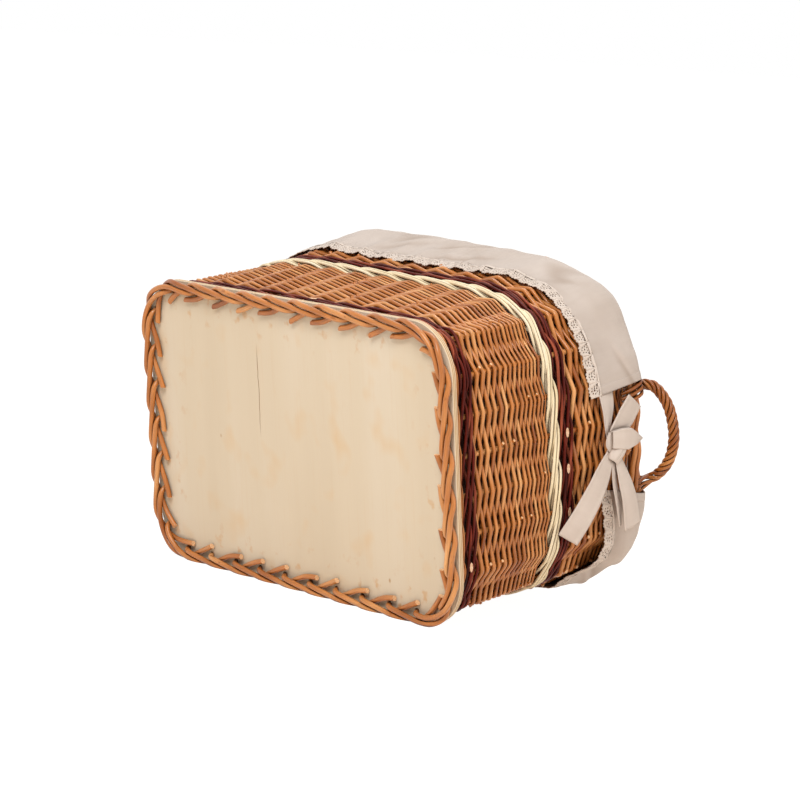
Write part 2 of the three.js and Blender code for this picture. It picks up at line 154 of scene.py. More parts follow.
def stake_share(k):
    return 0.5 + k / STAKE_COUNT


def end_place(across, height, out):
    """A place at the right end, a distance across from its middle."""
    return wall_place(-across / RIM.perimeter, height, out)


def wobble(seed, place, size):
    """A smooth repeatable unevenness."""
    return size * noise.noise(Vector((place, seed * 7.31, seed * 3.17)))


def smoothstep(value):
    value = min(max(value, 0.0), 1.0)
    return value * value * (3 - 2 * value)


def pick(values, share):
    """A value between evenly spaced ones."""
    place = share * (len(values) - 1)
    i = min(int(place), len(values) - 2)
    return lerp(values[i], values[i + 1], place - i)


def headings(path):
    """The direction along a path at each of its points."""
    last = len(path) - 1
    return [(path[min(i + 1, last)] - path[max(i - 1, 0)]).normalized() for i in range(last + 1)]


SPLINE_PARTS = 16


def spline(knots, steps):
    """Points spaced evenly along a smooth curve through knots."""
    dense = []
    ends = [2 * knots[0] - knots[1], *knots, 2 * knots[-1] - knots[-2]]
    for p0, p1, p2, p3 in zip(ends, ends[1:], ends[2:], ends[3:]):
        for i in range(SPLINE_PARTS):
            t = i / SPLINE_PARTS
            dense.append(0.5 * (2 * p1 + (p2 - p0) * t + (2 * p0 - 5 * p1 + 4 * p2 - p3) * t ** 2
                                + (3 * p1 - p0 - 3 * p2 + p3) * t ** 3))
    dense.append(knots[-1].copy())
    travelled = [0.0]
    for a, b in zip(dense, dense[1:]):
        travelled.append(travelled[-1] + (b - a).length)
    points, j = [], 0
    for i in range(steps + 1):
        goal = travelled[-1] * i / steps
        while j < len(dense) - 2 and travelled[j + 1] < goal:
            j += 1
        span = max(travelled[j + 1] - travelled[j], 1e-9)
        points.append(dense[j].lerp(dense[j + 1], (goal - travelled[j]) / span))
    return points


# Meshes

class Form:
    """Collects the points and faces of one piece. Each point has a grain: the place along the rod or cloth,
    and two places across it, so that materials follow the piece. On the skirts the third value is instead
    the painted shade of the creases."""

    def __init__(self):
        self.points, self.faces, self.grain, self.paint = [], [], [], []

    def tube(self, path, radii, start=0.0, sides=8, slants=(0.0, 0.0), normal=None):
        """A round rod along a path. Its cut ends take the second material."""
        count = len(path)
        tangents = headings(path)
        normal = normal or tangents[0].orthogonal().normalized()
        first = len(self.points)
        travelled = start
        for i, (point, tangent) in enumerate(zip(path, tangents)):
            if i:
                travelled += (point - path[i - 1]).length
            normal = (normal - tangent * normal.dot(tangent)).normalized()
            side = tangent.cross(normal)
            slant = slants[0] if i == 0 else slants[1] if i == count - 1 else 0.0
            for k in range(sides):
                angle = 2 * math.pi * k / sides
                across, up = radii[i] * math.cos(angle), radii[i] * math.sin(angle)
                self.points.append(point + normal * across + side * up + tangent * (slant * across))
                self.grain.append((travelled, across, up))
        for i in range(count - 1):
            for k in range(sides):
                a = first + i * sides + k
                b = first + i * sides + (k + 1) % sides
                self.face((a, b, b + sides, a + sides))
        last = first + (count - 1) * sides
        self.cap([last + k for k in range(sides)])
        self.cap([first + k for k in reversed(range(sides))])

    def face(self, corners, paint=0):
        self.faces.append(corners)
        self.paint.append(paint)

    def cap(self, ring):
        first = len(self.points)
        for k in ring:
            self.points.append(self.points[k].copy())
            self.grain.append(self.grain[k])
        self.face(tuple(range(first, first + len(ring))), 1)

    def grid(self, rows, closed=False):
        """A sheet through rows of (point, grain). A closed sheet joins each row's end to its start."""
        first, width = len(self.points), len(rows[0])
        for row in rows:
            self.points.extend(point for point, _ in row)
            self.grain.extend(grain for _, grain in row)
        for i in range(len(rows) - 1):
            for k in range(width if closed else width - 1):
                a = first + i * width + k
                b = first + i * width + (k + 1) % width
                self.face((a, b, b + width, a + width))


def add_object(name, data):
    obj = bpy.data.objects.new(name, data)
    bpy.context.scene.collection.objects.link(obj)
    return obj


def make_piece(node, kind, form, materials, mirror=False):
    """A smooth mesh that rides on the basket and stands for a node of the frame."""
    name = f"{node}_{kind}"
    flip = -1.0 if mirror else 1.0
    points = [(flip * p.x, p.y, p.z) for p in form.points]
    faces = [tuple(reversed(f)) for f in form.faces] if mirror else form.faces
    mesh = bpy.data.meshes.new(name)
    mesh.from_pydata(points, [], faces)
    mesh.polygons.foreach_set("use_smooth", [True] * len(faces))
    mesh.polygons.foreach_set("material_index", form.paint)
    for material in materials:
        mesh.materials.append(material)
    grain = mesh.attributes.new("grain", "FLOAT_VECTOR", "POINT")
    grain.data.foreach_set("vector", [value for place in form.grain for value in place])
    mesh.update()
    obj = add_object(name, mesh)
    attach(obj, "root")
    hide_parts(node)
    return obj


def thicken(obj, thickness, offset=0.0):
    solid = obj.modifiers.new("Thickness", "SOLIDIFY")
    solid.thickness = thickness
    solid.offset = offset


# Materials

def tint(*levels):
    """A colour given as red, green and blue from 0 to 255 in sRGB, as the shader takes it."""
    shares = [level / 255 for level in levels]
    return (*(v / 12.92 if v <= 0.04045 else ((v + 0.055) / 1.055) ** 2.4 for v in shares), 1.0)


class Nodes:
    """A short way to build a node tree."""

    def __init__(self, tree):
        self.tree = tree

    def node(self, kind, settings=None, **inputs):
        made = self.tree.nodes.new("ShaderNode" + kind)
        for key, value in (settings or {}).items():
            setattr(made, key, value)
        for key, value in inputs.items():
            socket = made.inputs[int(key[1:])] if key[1:].isdigit() else made.inputs[key]
            self.feed(socket, value)
        return made.outputs

    def feed(self, socket, value):
        if isinstance(value, bpy.types.NodeSocket):
            self.tree.links.new(value, socket)
        else:
            socket.default_value = value

    def math(self, operation, *values):
        inputs = {f"_{i}": value for i, value in enumerate(values)}
        return self.node("Math", {"operation": operation}, **inputs)["Value"]

    def background_rays(self):
        """1 for the rays that show the background: from the camera, or by way of gloss or glass."""
        path = self.node("LightPath")
        direct = self.math("MAXIMUM", path["Is Camera Ray"], path["Is Glossy Ray"])
        return self.math("MAXIMUM", direct, path["Is Transmission Ray"])


class Shader(Nodes):
    """A material made of nodes round one principled surface."""

    def __init__(self, name, **sockets):
        self.material = bpy.data.materials.new(name)
        self.material.use_nodes = True
        super().__init__(self.material.node_tree)
        self.surface = self.tree.nodes["Principled BSDF"]
        for socket, value in sockets.items():
            self.surface.inputs[socket.replace("_", " ")].default_value = value

    def grain(self, *scale):
        """The piece's own grain, stretched."""
        place = self.node("Attribute", {"attribute_name": "grain"})["Vector"]
        return self.node("VectorMath", {"operation": "MULTIPLY"}, _0=place, _1=scale)["Vector"]

    def place(self, *scale):
        """The place in the basket, stretched."""
        place = self.node("TexCoord")["Object"]
        return self.node("VectorMath", {"operation": "MULTIPLY"}, _0=place, _1=scale)["Vector"]

    def noise(self, vector, detail=3.0, roughness=0.55):
        return self.node("TexNoise", Vector=vector, Scale=1.0, Detail=detail,
                         Roughness=roughness)["Fac"]

    def ramp(self, factor, *stops):
        made = self.tree.nodes.new("ShaderNodeValToRGB")
        elements = made.color_ramp.elements
        for i, (position, colour) in enumerate(stops):
            element = elements[i] if i < 2 else elements.new(position)
            element.position = position
            element.color = colour
        self.tree.links.new(factor, made.inputs["Fac"])
        return made.outputs["Color"]

    def mix(self, factor, a, b, blend="MIX"):
        settings = {"data_type": "RGBA", "blend_type": blend}
        return self.node("Mix", settings, _0=factor, _6=a, _7=b)[2]

    def span(self, value, low, high, to_low=0.0, to_high=1.0):
        return self.node("MapRange", Value=value, _1=low, _2=high, _3=to_low, _4=to_high)["Result"]

    def bump(self, height, strength, distance):
        return self.node("Bump", Height=height, Strength=strength, Distance=distance)["Normal"]

    def crevice(self, reach, low, high):
        """0 where other surfaces are close, 1 in the open."""
        open_share = self.node("AmbientOcclusion", {"samples": 8}, Distance=reach)["AO"]
        return self.span(open_share, low, high)

    def finish(self, **sockets):
        for socket, value in sockets.items():
            self.feed(self.surface.inputs[socket.replace("_", " ")], value)
        return self.material


# How far the painted shade between rods reaches
ROD_SHADE = 4.5 * MM


def willow(name, tones, roughness, gloss, contrast, painted_rod_shade_range=(0.08, 0.78)):
    """Peeled or dyed willow: tone changes from rod to rod and fine streaks run along the rod. Between the
    rods the colour is painted shade in the deepest tone, and the coat is left off there."""
    deep, dark, middle, pale = (tint(*tone) for tone in tones)
    shader = Shader(name, Coat_Roughness=0.26, Specular_IOR_Level=0.1 + 0.5 * gloss)
    tone = shader.noise(shader.grain(9.0, 0.0, 0.0), detail=2.0)
    colour = shader.ramp(tone, (0.32, dark), (0.5, middle), (0.68, pale))
    streaks = shader.noise(shader.grain(60.0, 1500.0, 1500.0))
    shade = shader.span(streaks, 0.3, 0.7, 0.96 - contrast, 0.96 + contrast)
    grey = shader.node("CombineColor", _0=shade, _1=shade, _2=shade)["Color"]
    colour = shader.mix(1.0, colour, grey, "MULTIPLY")
    scars = shader.noise(shader.grain(95.0, 260.0, 260.0), detail=1.0)
    colour = shader.mix(shader.span(scars, 0.69, 0.75, 0.0, 0.6), colour, dark)
    # Painted shade: where rods lie close, the colour turns to the deepest tone and the coat is left off.
    clear_of_painted_shade = shader.crevice(ROD_SHADE, *painted_rod_shade_range)
    colour = shader.mix(clear_of_painted_shade, deep, colour)
    return shader.finish(
        Base_Color=colour,
        Coat_Weight=shader.math("MULTIPLY", clear_of_painted_shade, gloss),
        Roughness=shader.span(streaks, 0.3, 0.7, roughness - 0.06, roughness + 0.1),
        Normal=shader.bump(streaks, 0.35, 0.2 * MM))


def cut_wood(name, rim, heart):
    """A cut rod end: pith in the middle, a darker edge."""
    shader = Shader(name, Roughness=0.75)
    fibres = shader.noise(shader.grain(0.0, 1400.0, 1400.0), detail=2.0)
    return shader.finish(Base_Color=shader.ramp(fibres, (0.35, rim), (0.6, heart)))


# The first tone of each willow is the painted shade between its rods.
WILLOW = willow("willow", ((66, 13, 0), (141, 72, 20), (192, 119, 56), (230, 170, 108)),
                roughness=0.34, gloss=0.38, contrast=0.2)
WILLOW_ROPE = willow("willow_rope", ((34, 5, 0), (108, 46, 6), (156, 88, 30), (204, 137, 74)),
                     roughness=0.36, gloss=0.3, contrast=0.25, painted_rod_shade_range=(0.25, 0.95))
WILLOW_DARK = willow("willow_dark", ((5, 0, 0), (40, 7, 3), (90, 23, 11), (172, 88, 60)),
                     roughness=0.42, gloss=0.04, contrast=0.5)
WILLOW_CREAM = willow("willow_cream", ((124, 94, 52), (222, 200, 160), (236, 218, 182), (243, 230, 203)),
                      roughness=0.5, gloss=0.1, contrast=0.16)
WILLOW_END = cut_wood("willow_cut_end", tint(204, 148, 102), tint(238, 196, 150))
DARK_END = cut_wood("dyed_cut_end", tint(206, 150, 110), tint(240, 206, 172))


# Where glue shows at the board's edge, and where the veneer is split
GLUE_X = (0.145, 0.185)
GLUE_Y = (0.08, 0.118)
SPLIT_X = -48 * MM
SPLIT_Y = -44 * MM
SPLIT_HALF = 44 * MM
SPLIT_DRIFT = 2.5 * MM
PLY_LAYER = 1.7 * MM


def plywood():
    """Peeled veneer with its grain across the basket, a split, pin knots, and layers in the edge."""
    shader = Shader("plywood", Roughness=0.62)
    waves = shader.noise(shader.place(14.0, 1.6, 0.0), detail=2.0)
    fibres = shader.noise(shader.place(420.0, 9.0, 0.0), detail=4.0, roughness=0.65)
    pores = shader.noise(shader.place(1100.0, 60.0, 0.0), detail=2.0)
    veneer = shader.ramp(waves, (0.3, tint(206, 189, 163)), (0.5, tint(211, 195, 170)),
                         (0.72, tint(214, 200, 178)))
    veneer = shader.mix(shader.span(fibres, 0.52, 0.8, 0.0, 0.22), veneer, tint(205, 172, 130))
    veneer = shader.mix(shader.span(pores, 0.66, 0.8, 0.0, 0.2), veneer, tint(196, 160, 116))
    stains = shader.noise(shader.place(26.0, 20.0, 0.0), detail=2.0)
    veneer = shader.mix(shader.span(stains, 0.56, 0.78, 0.0, 0.45), veneer, tint(212, 170, 112))
    here = shader.node("TexCoord")["Object"]
    beyond = shader.node("VectorMath", {"operation": "ABSOLUTE"}, _0=here)["Vector"]
    beyond = shader.node("SeparateXYZ", Vector=beyond)
    border = shader.math("MAXIMUM", shader.span(beyond["X"], *GLUE_X), shader.span(beyond["Y"], *GLUE_Y))
    glue = shader.span(shader.noise(shader.place(75.0, 60.0, 0.0), detail=4.0), 0.6, 0.7, 0.0, 0.7)
    veneer = shader.mix(shader.math("MULTIPLY", border, glue), veneer, tint(198, 146, 84))
    knots = shader.node("TexVoronoi", Vector=shader.place(17.0, 11.0, 0.0), Scale=1.0,
                        Randomness=1.0)["Distance"]
    veneer = shader.mix(shader.span(knots, 0.018, 0.034, 0.75, 0.0), veneer, tint(168, 120, 62))
    split = shader.node("SeparateXYZ", Vector=here)
    drift = shader.span(shader.noise(shader.place(0.0, 30.0, 0.0)), 0.0, 1.0, -SPLIT_DRIFT, SPLIT_DRIFT)
    beside = shader.math("ABSOLUTE", shader.math("ADD", shader.math("SUBTRACT", split["X"], SPLIT_X), drift))
    ahead = shader.math("ABSOLUTE", shader.math("SUBTRACT", split["Y"], SPLIT_Y))
    crack = shader.math("MULTIPLY", shader.span(beside, 0.15 * MM, 0.5 * MM, 1.0, 0.0),
                        shader.span(ahead, 0.6 * SPLIT_HALF, SPLIT_HALF, 1.0, 0.0))
    veneer = shader.mix(crack, veneer, tint(128, 84, 40))
    layers = shader.math("SINE", shader.math("MULTIPLY", split["Z"], 2 * math.pi / PLY_LAYER))
    edge = shader.ramp(shader.span(layers, -1.0, 1.0), (0.3, tint(176, 136, 92)), (0.7, tint(222, 198, 162)))
    upright = shader.node("SeparateXYZ", Vector=shader.node("NewGeometry")["Normal"])["Z"]
    facing = shader.span(shader.math("ABSOLUTE", upright), 0.3, 0.6)
    height = shader.math("SUBTRACT", shader.math("MULTIPLY", fibres, 0.4), crack)
    return shader.finish(Base_Color=shader.mix(facing, edge, veneer),
                         Normal=shader.bump(height, 0.4, 0.3 * MM))


PLYWOOD = plywood()


def cloth(name, pale, deep, thread, painted_shade_behind_weave=False, painted_shade_reach=5 * MM, painted_contact_shade_range=(0.2, 0.85)):
    """Plain woven cotton: crossing threads, faint unevenness, a soft sheen at grazing angles. Painted shade
    darkens it where other surfaces come close and along the creases' valleys; where the bag lies behind the
    weave, painted shade turns it dark brown."""
    shader = Shader(name, Roughness=0.92, Sheen_Weight=0.12, Sheen_Roughness=0.5)
    place = shader.node("SeparateXYZ", Vector=shader.grain(1.0, 1.0, 1.0))
    warp = shader.math("SINE", shader.math("MULTIPLY", place["X"], 2 * math.pi / thread))
    weft = shader.math("SINE", shader.math("MULTIPLY", place["Y"], 2 * math.pi / thread))
    weave = shader.math("MULTIPLY", warp, weft)
    slubs = shader.math("MULTIPLY", shader.noise(shader.grain(240.0, 30.0, 0.0)), 0.2)
    clouds = shader.math("MULTIPLY", shader.noise(shader.place(22.0, 22.0, 22.0)), 0.8)
    colour = shader.ramp(shader.math("ADD", slubs, clouds), (0.35, deep), (0.65, pale))
    # Painted shade: dark brown on the bag where the weave lies close, warm brown elsewhere where other
    # surfaces come close.
    if painted_shade_behind_weave:
        colour = shader.mix(shader.crevice(16 * MM, 0.6, 0.97), tint(66, 20, 2), colour)
    else:
        colour = shader.mix(shader.crevice(painted_shade_reach, *painted_contact_shade_range), tint(128, 98, 76), colour)
    # Painted shade along the creases' valleys, carried in the grain's third value, which only the skirts
    # set.
    colour = shader.mix(shader.math("MULTIPLY", place["Z"], 0.5), colour, tint(146, 124, 106))
    creases = shader.noise(shader.place(60.0, 60.0, 60.0), detail=2.0)
    relief = shader.math("ADD", shader.math("MULTIPLY", weave, 0.06), creases)
    return shader.finish(Base_Color=colour, Normal=shader.bump(relief, 0.35, 1.0 * MM))


THREAD = 0.55 * MM
COTTON = cloth("cotton", tint(194, 180, 169), tint(183, 168, 156), THREAD,
               painted_shade_reach=8 * MM, painted_contact_shade_range=(0.4, 0.98))
LINING = cloth("lining", tint(193, 179, 167), tint(182, 167, 154), THREAD, painted_shade_behind_weave=True)
# The ties' cotton is the skirts' cotton made lighter: painted light on the ties, which stand out from the
# skirt.
TIE_COTTON = cloth("tie_cotton", tint(208, 193, 181), tint(199, 183, 170), THREAD)
LACE = cloth("lace", tint(216, 201, 188), tint(204, 188, 174), 0.45 * MM, painted_shade_reach=1.5 * MM)


# Base board: a rounded sheet with a hole for each stake

OUTLINE_STEPS = 240
HOLE_SIDES = 16


def base_board():
    curve = bpy.data.curves.new("base_board_panel", "CURVE")
    curve.dimensions = "2D"
    curve.fill_mode = "BOTH"
    curve.extrude = (BOARD_TOP - BOARD_BOTTOM) / 2 - BOARD_BEVEL
    curve.bevel_depth = BOARD_BEVEL
    curve.bevel_resolution = 2
    curve.offset = -BOARD_BEVEL
    outline = Loop(BOARD_LENGTH, BOARD_WIDTH, BOARD_CORNER_RADIUS)
    rings = [[outline.at(i / OUTLINE_STEPS)[:2] for i in range(OUTLINE_STEPS)]]
    reach = STAKE_RADIUS + 2 * CLEARANCE
    turns = [2 * math.pi * i / HOLE_SIDES for i in range(HOLE_SIDES)]
    for k in range(STAKE_COUNT):
        centre = wall_place(stake_share(k), BOARD_BOTTOM)
        rings.append([(centre.x + reach * math.cos(turn), centre.y + reach * math.sin(turn))
                      for turn in turns])
    for ring in rings:
        line = curve.splines.new("POLY")
        line.points.add(len(ring) - 1)
        for point, (x, y) in zip(line.points, ring):
            point.co = (x, y, 0.0, 1.0)
        line.use_cyclic_u = True
    shaped = bpy.data.objects.new("board_curve", curve)
    mesh = bpy.data.meshes.new_from_object(shaped)
    mesh.name = "base_board_panel"
    mesh.transform(Matrix.Translation((0.0, 0.0, (BOARD_BOTTOM + BOARD_TOP) / 2)))
    mesh.materials.clear()
    mesh.materials.append(PLYWOOD)
    bpy.data.objects.remove(shaped)
    board = add_object("base_board_panel", mesh)
    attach(board, "root")
    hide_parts("base_board")


base_board()


# Stakes: each one runs from its cut end under the board, up the wall, to its cut end in the border

STAKE_THICK = 1.08
STAKE_THIN = 1.02
STAKE_PITCH = 4 * MM
STRAY = 0.12
BORDER_TUCK = 0.8 * MM


def softened(path, passes):
    """A path with its corners eased, its ends kept."""
    for _ in range(passes):
        middle = [(a + 2 * b + c) / 4 for a, b, c in zip(path, path[1:], path[2:])]
        path = [path[0], *middle, path[-1]]
    return path


def stake(k):
    layer = 2 * STAKE_RADIUS + CLEARANCE
    floor_layer = STAKE_RADIUS
    board_layer = floor_layer + layer
    top_layer = RIM_HEIGHT - STAKE_RADIUS
    middle_layer = top_layer - layer
    low_layer = middle_layer - layer
    foot_edge = 1.5 * ROD_BESIDE
    stray = STRAY * math.sin(2.4 * k)
    # From the foot to the border: how many stakes ahead, how far out, how high
    stations = [
        (3.25 + stray, -FOOT_END_IN - BORDER_TUCK + 12 * MM * stray, board_layer - CLEARANCE),
        (2.9, -ROD_BESIDE, board_layer - CLEARANCE),
        (2.1, foot_edge - STAKE_RADIUS / 2, board_layer),
        (1.95, foot_edge, board_layer),
        (1.7, foot_edge, floor_layer),
        (0.2, 0.0, floor_layer),
        (0.0, 0.0, board_layer),
        (0.0, 0.0, BOARD_TOP),
        (0.0, 0.0, low_layer),
        (0.42, ROD_BESIDE, low_layer),
        (0.75, ROD_BESIDE, low_layer),
        (1.1, ROD_BESIDE, middle_layer),
        (1.75, ROD_BESIDE, middle_layer),
        (2.1, ROD_BESIDE, top_layer),
        (2.75, 0.0, top_layer),
        (3.05, 0.0, top_layer),
        (3.35, -BORDER_TUCK, middle_layer),
        (4.2, -BORDER_TUCK, middle_layer),
    ]
    path = []
    for here, ahead in zip(stations, stations[1:]):
        span = wall_place(stake_share(k + ahead[0]), ahead[2], ahead[1]) \
            - wall_place(stake_share(k + here[0]), here[2], here[1])
        parts = math.ceil(span.length / STAKE_PITCH)
        for part in range(parts):
            step, out, height = (lerp(a, b, part / parts) for a, b in zip(here, ahead))
            path.append(wall_place(stake_share(k + step), height, out))
    path = softened(path, 4)
    count = len(path)
    radii = [STAKE_RADIUS * lerp(STAKE_THICK, STAKE_THIN, min(2 * i / count, 1.0)) for i in range(count)]
    outward = wall_frame(stake_share(k + 3.2), board_layer)[1]
    # The stubs were cut from one side, so their faces lean by the side of the basket
    foot_slant = -0.15 if outward.y > 0.3 else 0.45
    form = Form()
    form.tube(path, radii, start=3.1 * k, sides=10, slants=(foot_slant, 0.4), normal=outward)
    make_piece(f"stake_{k + 1:02d}", "rod", form, [WILLOW, WILLOW_END])


for k in range(STAKE_COUNT):
    stake(k)


# Woven bands

KNUCKLE = 2.2 * MM
THINNEST = 0.5 * MM
UNEVEN = 0.5 * MM
BUTT_ENDS = 60
BUTT_OUT = 1.6 * MM
WALE_RODS = 3
WALE_STEPS = 6
CUT_DEPTH = 3 * MM

# The rods pack unevenly: how far a band's lower and upper edges lie from those of the solid
PACKED = {"main_weave": (0.0, -3 * MM), "cream_wale": (-3 * MM, -4.5 * MM),
          "upper_dark_wale": (-4.5 * MM, -3 * MM), "upper_weave": (-3 * MM, 0.0)}


def band(name):
    """The lower and upper edge of a woven band."""
    low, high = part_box(name)
    down, up = PACKED.get(name, (0.0, 0.0))
    return low.z + down, high.z + up


def weave_rod(form, corners, radii, start):
    """A weaver that runs straight from stake to stake, with a sharp bend at each."""
    path, spread = [corners[0]], [radii[0]]
    for before, corner, after, radius in zip(corners, corners[1:], corners[2:], radii[1:]):
        back, ahead = before - corner, after - corner
        into = corner + back * min(0.45, KNUCKLE / max(back.length, 1e-6))
        onward = corner + ahead * min(0.45, KNUCKLE / max(ahead.length, 1e-6))
        path += [into, into.lerp(corner, 0.5).lerp(corner.lerp(onward, 0.5), 0.5), onward]
        spread += [radius] * 3
    form.tube([*path, corners[-1]], [*spread, radii[-1]], start=start, sides=7, slants=(0.5, 0.5))


def randing(name, rows, coarse, fine, rod_stakes, seed):
    """One weaver after another wound up the wall, in front of one stake and behind the next. The first
    turn starts from nothing and the last tapers off, so that the band is level."""
    low, high = band(name)
    count = (rows + 1) * STAKE_COUNT

    def raw_thickness(u):
        row = u / STAKE_COUNT
        size = lerp(coarse, fine, smoothstep(row / rows))
        taper = lerp(1.12, 0.9, ((u + seed) % rod_stakes) / rod_stakes)
        return size * taper * min(1.0, row + 0.02, rows + 1.02 - row)

    centre, thickness = [0.0] * count, [0.0] * count
    for column in range(STAKE_COUNT):
        turns = range(column, count, STAKE_COUNT)
        scale = (high - low) / sum(raw_thickness(u) for u in turns)
        level = low
        for u in turns:
            thickness[u] = scale * raw_thickness(u)
            centre[u] = level + thickness[u] / 2
            level += thickness[u]

    def knuckle(u):
        swing = STAKE_RADIUS + 0.1 * MM + thickness[u] / 2
        out = swing if u % 2 == 0 else -swing
        height = centre[u] + wobble(seed, 0.37 * u, UNEVEN)
        return wall_place(stake_share(u), height, out)

    form = Form()
    starts = list(range(5 + seed % 2, count - 4, rod_stakes))
    for i, first in enumerate(starts):
        last = starts[i + 1] if i + 1 < len(starts) else count - 5
        places = range(first, last + 1)
        corners = [knuckle(u) for u in places]
        radii = [max(thickness[u] * 0.54, THINNEST) for u in places]
        before = corners[0] + (knuckle(first - 1) - corners[0]) * 0.14
        after = corners[-1] + (knuckle(last + 1) - corners[-1]) * 0.3
        weave_rod(form, [before, *corners, after], [radii[0], *radii, radii[-1]],
                  start=2.7 * i + 11.0 * seed)
    # Butt ends that peep out where a new weaver begins beside a stake
    for i in range(BUTT_ENDS):
        u = int((0.08 + 0.84 * math.modf(0.618 * i + 0.07 * seed)[0]) * count) // 2 * 2
        height = centre[u] + thickness[u] / 2
        out = STAKE_RADIUS + thickness[u] * 0.6
        start = wall_place(stake_share(u + 0.1), height, out - 1.5 * MM)
        lean = wall_place(stake_share(u + 0.16), height, out + BUTT_OUT)
        form.tube([start, lean], [0.42 * thickness[u]] * 2)
    make_piece(name, "rods", form, [WILLOW, WILLOW_END])


def waling(name, material, end, seed, fullness, climb, loose, stand, cuts=()):
    """Three pairs of weavers twisted round the wall together, each in front of two stakes and behind
    one. Fullness is how thick the weavers are in the band, loose how uneven they lie, stand how far they
    stand out. With a large climb a pair climbs together, with a small one it lies as two rows of smaller
    strokes. Cuts are the places, in stakes and in shares of the band, where a weaver ends on the outside."""
    low, high = band(name)
    pair = (high - low) / 2
    middle = low + pair
    swing = STAKE_REACH + stand * pair

    # Place in the three-stake repeat: how far out, and how far above or below the middle
    strokes = {0.0: (-1.0, 0.0), 0.5: (0.0, -0.92), 1.0: (1.0, -1.0),
               2.0: (1.0, 1.0), 2.5: (0.0, 0.92)}
    form = Form()
    for j in range(WALE_RODS):
        for twin in (-1.0, 1.0):
            corners, radii = [], []
            for half_steps in range(2 * STAKE_COUNT + 3):
                s = j + half_steps / 2
                stroke = strokes.get((s - j) % WALE_RODS)
                if stroke is None:
                    continue
                uneven = wobble(seed + j + twin, 0.5 * s, loose * pair)
                height = middle + (stroke[1] * climb + (0.75 - climb) * twin) * pair + uneven
                out = stroke[0] * swing + wobble(seed - j + twin, 0.8 * s, UNEVEN)
                corners.append(wall_place(stake_share(s), height, out))
                radii.append(pair * fullness * (0.25 + wobble(seed + j + twin, 0.11 * s, 0.05)))
            steps = WALE_STEPS * len(corners)
            sizes = [pick(radii, i / steps) for i in range(steps + 1)]
            form.tube(spline(corners, steps), sizes, start=5.3 * j + 17.0 * seed + 2.1 * twin)
    for place, share in cuts:
        height = lerp(low, high, share)
        centre, outward = wall_frame(stake_share(place), height)
        centre += outward * (swing + 0.3 * pair)
        around = outward.cross(Vector((0.0, 0.0, 1.0)))
        first = len(form.points)
        form.tube([centre - outward * CUT_DEPTH, centre], [0.27 * pair] * 2, start=3.0 * place, sides=14)
        for i in range(first, len(form.points)):
            form.points[i] += around * (1.3 * (form.points[i] - centre).dot(around))
    make_piece(name, "rods", form, [material, end])


waling("upsett_weave", WILLOW, WILLOW_END,
       seed=1, fullness=1.05, climb=0.5, loose=0.16, stand=0.25)
waling("lower_dark_wale", WILLOW_DARK, DARK_END,
       seed=2, fullness=0.82, climb=0.28, loose=0.5, stand=0.16, cuts=((15.2, 0.3), (26.0, 0.6)))
randing("main_weave", rows=29, coarse=3.5, fine=2.1, rod_stakes=47, seed=3)
waling("cream_wale", WILLOW_CREAM, WILLOW_END,
       seed=4, fullness=1.02, climb=0.45, loose=0.14, stand=0.25)
waling("upper_dark_wale", WILLOW_DARK, DARK_END,
       seed=5, fullness=0.8, climb=0.28, loose=0.5, stand=0.13,
       cuts=((18.03, 0.5), (17.11, 0.46), (16.0, 0.5), (5.1, 0.4), (4.0, 0.3)))
randing("upper_weave", rows=19, coarse=3.5, fine=2.4, rod_stakes=43, seed=6)


# Handles: five strands twisted into a rope. At the feet they part and go down through the border.

HANDLE_SPAN = 88 * MM
HANDLE_OUT = 28 * MM
HANDLE_RISE = 17 * MM
ROPE_RADIUS = 5.2 * MM
ROPE_STRANDS = 5
ROPE_TURNS = 3.9
ROPE_STEPS = 150
PARTING = 18
ROUTE_STEPS = 260
SPREADS = (-4.5 * MM, 4.5 * MM, 0.0, -1.5 * MM, 4.5 * MM)
WRAP_OFFSET = BORDER_REACH + CLEARANCE + 1.9 * MM

# Half of the arch at each foot: shares of the span, of the reach out and of the rise
NEAR_LEG = ((1.0, 0.0, 0.0), (1.0, 0.05, 0.35), (0.92, 0.42, 0.74), (0.58, 0.83, 0.94), (0.0, 1.0, 1.0))
FAR_LEG = ((1.0, 0.0, 0.0), (0.95, 0.08, 0.35), (0.83, 0.44, 0.72), (0.5, 0.84, 0.93))

# A strand below the rope, in millimetres: aside, above the rim, out
INSIDE_ROUTE = ((0, 0.6, 1.5), (0, -3, 0), (0, -28, 0), (0, -34, 4))
FRONT_ROUTE = ((0, 1.8, 6), (2, -4, 10.6), (5, -13, 10.2), (8, -21, 5))
BACK_ROUTE = ((0, 1.6, 5.5), (1, -4, 6.5), (2, -12, 1))


def rope_arch():
    def leg(side, places):
        return [end_place(side * across * HANDLE_SPAN / 2, seat + HANDLE_RISE * rise, HANDLE_OUT * out)
                for across, out, rise in places]
    seat = RIM_HEIGHT + 2 * CLEARANCE
    return spline(leg(-1, NEAR_LEG) + leg(1, reversed(FAR_LEG)), ROPE_STEPS)


def foot_route(side, inside, spread):
    """Places of one strand below the rope: it parts from the others and goes down inside the wall, over
    the border at the front foot, or down through the border at the back foot."""
    across = side * (HANDLE_SPAN / 2 + spread)
    start = -WRAP_OFFSET if inside else 0.0
    route = INSIDE_ROUTE if inside else FRONT_ROUTE if side < 0 else BACK_ROUTE
    return [end_place(across + aside * MM, RIM_HEIGHT + rise * MM, start + out * MM)
            for aside, rise, out in route]


